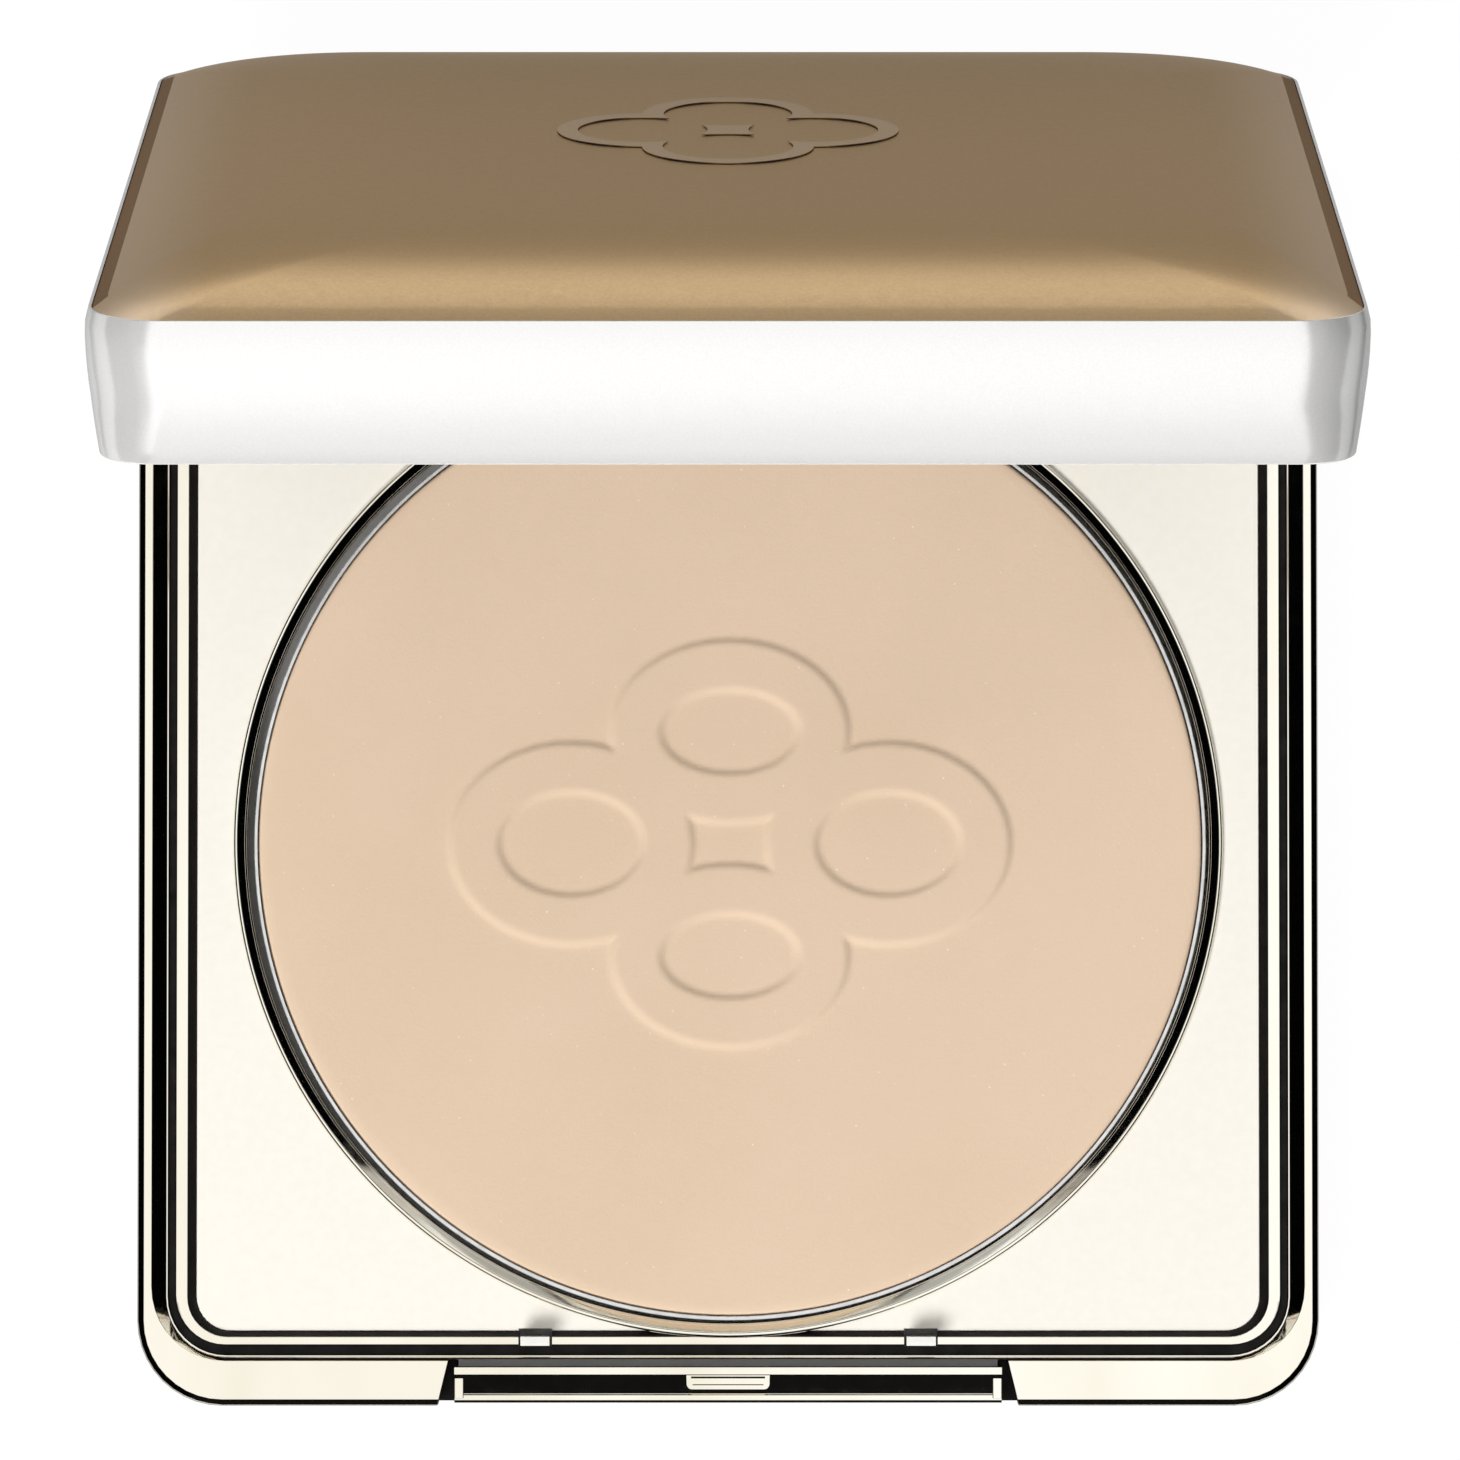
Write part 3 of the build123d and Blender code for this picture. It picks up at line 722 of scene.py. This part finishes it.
# %% Plated ring
ring = turned([(29.98, 4.3), (30.16, 4.3), (30.16, 5.2), (30.87, 5.2), (30.87, 5.34), (30.85, 5.44),
               (30.79, 5.52), (30.70, 5.55), (30.62, 5.54), (30.56, 5.50), (30.08, 5.13), (30.0, 5.04),
               (29.98, 4.95)], steps=240, y=PAN_Y)
place(ring, "plated_pan_ring", "base", "pan_ring", champagne, "champagne_plating", sharp=50)

# %% Drawn pan
PAN_X, PAN_CENTRE_Y = 0.12, PAN_Y - 0.12
pan = turned([(0.01, 1.6), (29.2, 1.6), (29.55, 1.74), (29.7, 2.1), (29.7, 5.02), (29.66, 5.05), (29.5, 5.05),
              (29.46, 5.02), (29.45, 1.85), (0.01, 1.85)], x=PAN_X, y=PAN_CENTRE_Y)
place(pan, "drawn_pan", "base", "powder_pan", pan_metal, "pan_metal")

# %% [markdown]
# ## Pressed powder with its relief
# The die leaves a raised ornament, here four plain petals drawn as broad bands. The top is a fine grid,
# trimmed to a circle, whose vertices are lifted where a band runs; the slope at a band's edge is softened
# as a pressed edge is. The skirt is pulled down from the grid's rim.

# %% Petal bands
PETALS = [((9.9, 0.0), (7.6, 6.3)), ((-9.9, 0.0), (7.6, 6.3)),    # centre, half width and half height
          ((0.0, 7.0), (7.4, 5.7)), ((0.0, -7.0), (7.4, 5.7))]
BAND_WIDTH, BAND_HEIGHT, BAND_SLOPE = 3.1, 0.27, 0.45


def inside(x, y, inset):
    """How far a point lies inside the nearest petal, in millimetres."""
    depths = []
    for (cx, cy), (rx, ry) in PETALS:
        reach = math.hypot((x - cx) / (rx - inset), (y - cy) / (ry - inset))
        depths.append((1 - reach) * min(rx - inset, ry - inset))
    return max(depths)


def eased(value):
    """0 to 1 with soft ends."""
    share = min(max(value, 0), 1)
    return share * share * (3 - 2 * share)


def relief(x, y):
    """Height of the raised bands at a point."""
    outer, inner = (eased(inside(x, y, inset) / BAND_SLOPE + 0.5) for inset in (0, BAND_WIDTH))
    return BAND_HEIGHT * (outer - inner)


# %% Powder cake
POWDER_RADIUS, POWDER_TOP, CELLS = 29.44, 4.95, 300
FLAT_RADIUS = POWDER_RADIUS - 0.3
SKIRT = [(FLAT_RADIUS + 0.17, 0.05), (POWDER_RADIUS - 0.04, 0.14),    # radius and drop of each outline
         (POWDER_RADIUS, 0.28), (POWDER_RADIUS, 3.08)]
cake = bmesh.new()
bmesh.ops.create_grid(cake, x_segments=CELLS, y_segments=CELLS, size=FLAT_RADIUS)
rim_radius = FLAT_RADIUS * (1 - 0.8 / CELLS)
outside = [vert for vert in cake.verts if vert.co.xy.length > rim_radius]
bmesh.ops.delete(cake, geom=outside, context="VERTS")
spikes = [vert for vert in cake.verts if len(vert.link_faces) < 2]
bmesh.ops.delete(cake, geom=spikes, context="VERTS")
for vert in cake.verts:
    if vert.is_boundary:
        vert.co.xy = vert.co.xy.normalized() * FLAT_RADIUS
    else:
        vert.co.z = relief(vert.co.x, vert.co.y)
for radius, drop in SKIRT:
    rim = [edge for edge in cake.edges if edge.is_boundary]
    pulled = bmesh.ops.extrude_edge_only(cake, edges=rim)["geom"]
    for vert in [item for item in pulled if isinstance(item, bmesh.types.BMVert)]:
        vert.co.xy = vert.co.xy.normalized() * radius
        vert.co.z = -drop
bmesh.ops.edgeloop_fill(cake, edges=[edge for edge in cake.edges if edge.is_boundary])
bmesh.ops.recalc_face_normals(cake, faces=cake.faces)
bmesh.ops.translate(cake, vec=(PAN_X, PAN_CENTRE_Y, POWDER_TOP), verts=cake.verts)
place(cake, "pressed_powder_cake", "base", "powder_cake", powder, "pressed_powder")

# %% [markdown]
# ## Front button
# The button is a wide plated bar with a raised back edge, a shallow scoop for the thumb and a low lip. Its
# side view is drawn once as a face and pulled along its length; its edges are then rounded.

# %% Button bar
BUTTON_HALF = 17.05
SIDE_VIEW = [(-34.8, 6.15), (-34.35, 6.15), (-34.35, 2.9), (-36.6, 2.9), (-36.6, 5.28), (-36.42, 5.42),
             (-36.12, 5.42), (-36.05, 5.36), (-35.5, 5.66)]
button = bmesh.new()
outline = button.faces.new([button.verts.new((-BUTTON_HALF, y, z)) for y, z in SIDE_VIEW])
pulled = bmesh.ops.extrude_face_region(button, geom=[outline])["geom"]
far_end = [item for item in pulled if isinstance(item, bmesh.types.BMVert)]
bmesh.ops.translate(button, vec=(2 * BUTTON_HALF, 0, 0), verts=far_end)
bmesh.ops.recalc_face_normals(button, faces=button.faces)
soften(button, 0.07, 2, limit=40)
seat = block(-2.3, 2.3, -35.6, -34.7, 5.0, 5.9)
ends = [soften(block(low, high, -36.3, -34.45, 4.5, 5.97), 0.06)
        for low, high in ((-17.04, -16.45), (16.45, 17.04))]
button = join(button, seat, *ends)
# The button's back faces, in the gap before the recess wall, get the near-black painted shade.
place(button, "front_button", "button", "button_cap", champagne, "champagne_plating", sharp=30,
      second=painted_shade, second_on=lambda face: face.normal.y > 0.7 and face.calc_center_median().z < 6)

# %% [markdown]
# The press point is a small pad on the button, rounded at its front corners, with two fine slits.

# %% Press point
nib = block(-2.6, 2.6, -35.73, -34.83, 5.9, 6.12)
front_corners = [edge for edge in nib.edges
                 if abs(edge.verts[0].co.z - edge.verts[1].co.z) > 0.1 and middle(edge).y < -35.3]
bmesh.ops.bevel(nib, geom=front_corners, offset=0.35, offset_type="OFFSET", affect="EDGES",
                segments=5, profile=0.5, material=-1)
soften(nib, 0.04, 2, where=lambda edge: middle(edge).z > 6.1)
long_slits = [block(-2.3, 2.3, -35.05, -34.92, 6.02, 6.3), block(-2.2, 2.2, -35.47, -35.41, 6.06, 6.3)]
nib = cut(nib, *long_slits)
# The floors of the two slits get the near-black painted shade.
place(nib, "press_point", "button", "button_nib", champagne, "champagne_plating", second=painted_shade,
      second_on=lambda face: face.normal.z > 0.5 and face.calc_center_median().z < 6.08)

# %% [markdown]
# ## Lid shell
# The lid's wall swells a little, like a barrel, and closes at a shoulder that holds the cover. Drawn shut,
# it is one row of outlines: from the roof's underside down the inside, round the rim, up the outside and
# into the pocket for the cover.

# %% Lid wall
LID_FRONT, LID_HALF, LID_RIM, SHOULDER = -33.25, 34.7, 5.8, 14.0
LID_BACK = LID_FRONT + 2 * LID_HALF + DEEPER


def lid_line(grow, radius, z):
    """Outline of the lid at height z, grown outwards from the rim's."""
    return (LID_HALF + grow, LID_FRONT - grow, LID_BACK + grow, radius, z)


def swell(z):
    """How far the wall stands out from its rim."""
    rise = 0.75 * math.sin(math.pi / 2 * min((z - LID_RIM) / 6.9, 1))
    return rise - 0.23 * (max(z - 12.7, 0) / 1.3) ** 2


def corner_radius(z):
    """Corner radius of the wall: tight at the rim, so it stands on the ledge, and rounder above."""
    return 3.1 + 1.3 * min((z - LID_RIM) / 3.3, 1)


LID_WALL, ROOF, POCKET = 1.2, 11.4, 12.9
wall_heights = [LID_RIM + 0.82 * step for step in range(11)]
wall = stack([lid_line(-LID_WALL, 2.2, ROOF), lid_line(-LID_WALL, 2.2, LID_RIM)]
             + [lid_line(swell(z), corner_radius(z), z) for z in wall_heights]
             + [lid_line(0.34, 3.98, SHOULDER), lid_line(0.34, 3.98, POCKET)])
soften(wall, 0.12, 3, limit=50, where=lambda edge: middle(edge).z < LID_RIM + 0.01)
soften(wall, 0.07, 2, limit=50, where=lambda edge: middle(edge).z > SHOULDER - 0.01)

# %% [markdown]
# A rail behind the front wall holds the hooks' catches, and two knuckles turn between the base's three.

# %% Catch rail and hinge
CATCH_HALF, PLAY = 1.1, 0.15
rail = block(-17.5, 17.5, LID_FRONT + 1.1, -31.4, LID_RIM + 0.01, 8.5)
catches = []
for side in (-1, 1):
    low, high = side * SLOT_X - CATCH_HALF, side * SLOT_X + CATCH_HALF
    catches += [block(low, high, -32.8, -31.95, LID_RIM - 1, 6.4),
                block(low, high, -33.05, -31.95, 6.35, 7.1)]
knuckle_gaps = [rod(low - PLAY, high + PLAY, SWING) for low, high in BASE_KNUCKLES]
lid_knuckles = [rod(low + PLAY, high - PLAY, KNUCKLE) for low, high in LID_KNUCKLES]
pin_bores = [rod(low, high, 0.64) for low, high in PIN_HOLES]
wall = cut(join(wall, rail), *catches, *knuckle_gaps)
wall = cut(join(wall, *lid_knuckles), *pin_bores)
place(wall, "pearl_lid", "lid", "lid_shell", pearl, "pearl")

# %% [markdown]
# ## Satin cover
# The cover is a pillow: flat in the middle, rolling down towards a small bevel at its edge. Each outline is
# further out and lower, and the drop grows with a power of the distance, so the roll is fast at the edge
# and slow inside. The left and right bevels get a darker, less coated finish, a painted dark reflection
# that draws a brown line down each side.

# %% Cover
PLATE_HALF, PLATE_EDGE, DOME_HEIGHT, DOME_ROLL, ROLL_STEPS = 35.0, 13.95, 2.45, 16.4, 22
BEVEL_IN, BEVEL_UP, ROLL_POWER = 0.8, 0.45, 3.5
PLATE_THICK, PLATE_BOTTOM = 1.0, 13.0
plate_y = LID_FRONT + LID_HALF


def plate_line(inset, radius, z):
    """Outline of the cover, drawn in from its edge."""
    half = PLATE_HALF - inset
    return (half, plate_y - half, plate_y + half + DEEPER, radius, z)


def roll(share, thinner):
    """One outline of the pillow; share runs from 0 at the edge to 1 where it turns flat."""
    inset = BEVEL_IN + DOME_ROLL * share + thinner
    rise = DOME_HEIGHT * (1 - (1 - share) ** ROLL_POWER)
    return plate_line(inset, 3.9 + 0.45 * (inset - thinner), PLATE_EDGE + BEVEL_UP + rise - thinner)


shares = [(step / ROLL_STEPS) ** 1.2 for step in range(ROLL_STEPS + 1)]
cover = stack([roll(share, PLATE_THICK) for share in reversed(shares)]
              + [plate_line(PLATE_THICK, 2.9, PLATE_BOTTOM), plate_line(0, 3.9, PLATE_BOTTOM),
                 plate_line(0, 3.9, PLATE_EDGE)]
              + [roll(share, 0.0) for share in shares])


def side_bevel(face):
    """The bevels along the left and right edges, which get the painted dark reflection."""
    return face.calc_center_median().z < PLATE_EDGE + BEVEL_UP and abs(face.normal.x) > 0.45


place(cover, "satin_cover", "lid", "lid_plate", satin_gold, "satin_gold", sharp=50,
      second=painted_dark_reflection, second_on=side_bevel)

# %% [markdown]
# ## Mirror and its frame
# The mirror drops in from behind and the frame's lip holds its edge. Both are simple outlines with the small
# rounds that a mould and a glass cutter leave.

# %% Mirror
rim_frame = stack([
    lid_line(-1.25, 2.15, 11.38), lid_line(-1.25, 2.15, 8.6),      # outer wall
    lid_line(-4.5, 1.4, 8.6), lid_line(-5.0, 1.2, 9.19),           # lip over the glass
    lid_line(-4.15, 1.5, 9.19), lid_line(-4.15, 1.5, 11.38)], closed=True)
soften(rim_frame, 0.12, 2, where=lambda edge: middle(edge).z < 8.7)
place(rim_frame, "mirror_surround", "lid", "mirror_frame", pearl, "pearl")
glass = stack([lid_line(-4.2, 1.4, 9.2), lid_line(-4.2, 1.4, 10.7)])
soften(glass, 0.1, 1)
place(glass, "mirror_glass_plate", "lid", "mirror", mirror_glass, "mirror_glass")

# %% [markdown]
# ## Table
# A plain round white board, a little larger than the compact. It glows slightly, as paper over a light box
# does. It shows white to the camera and a calmer grey to the surfaces that mirror it.

# %% Table top
TABLE_RADIUS, MIRRORED_GLOW, EXTRA_GLOW = 0.115, 0.44, 0.52
table_work = bmesh.new()
bmesh.ops.create_circle(table_work, cap_ends=True, segments=96, radius=TABLE_RADIUS)
table_mesh = bpy.data.meshes.new("table")
table_work.to_mesh(table_mesh)
table_work.free()
table_white, tree, shader = finish("table_white", Roughness=0.9, Specular_IOR_Level=0.0)
shader.inputs["Emission Color"].default_value = (1, 1, 1, 1)
shader.inputs["Base Color"].default_value = (0.06, 0.06, 0.06, 1)
seen = tree.nodes.new("ShaderNodeLightPath")
glow = maths(tree, "MULTIPLY_ADD", seen.outputs["Is Camera Ray"], EXTRA_GLOW, MIRRORED_GLOW)
tree.links.new(glow, shader.inputs["Emission Strength"])
table_mesh.materials.append(table_white)
table = bpy.data.objects.new("table", table_mesh)
bpy.context.scene.collection.objects.link(table)
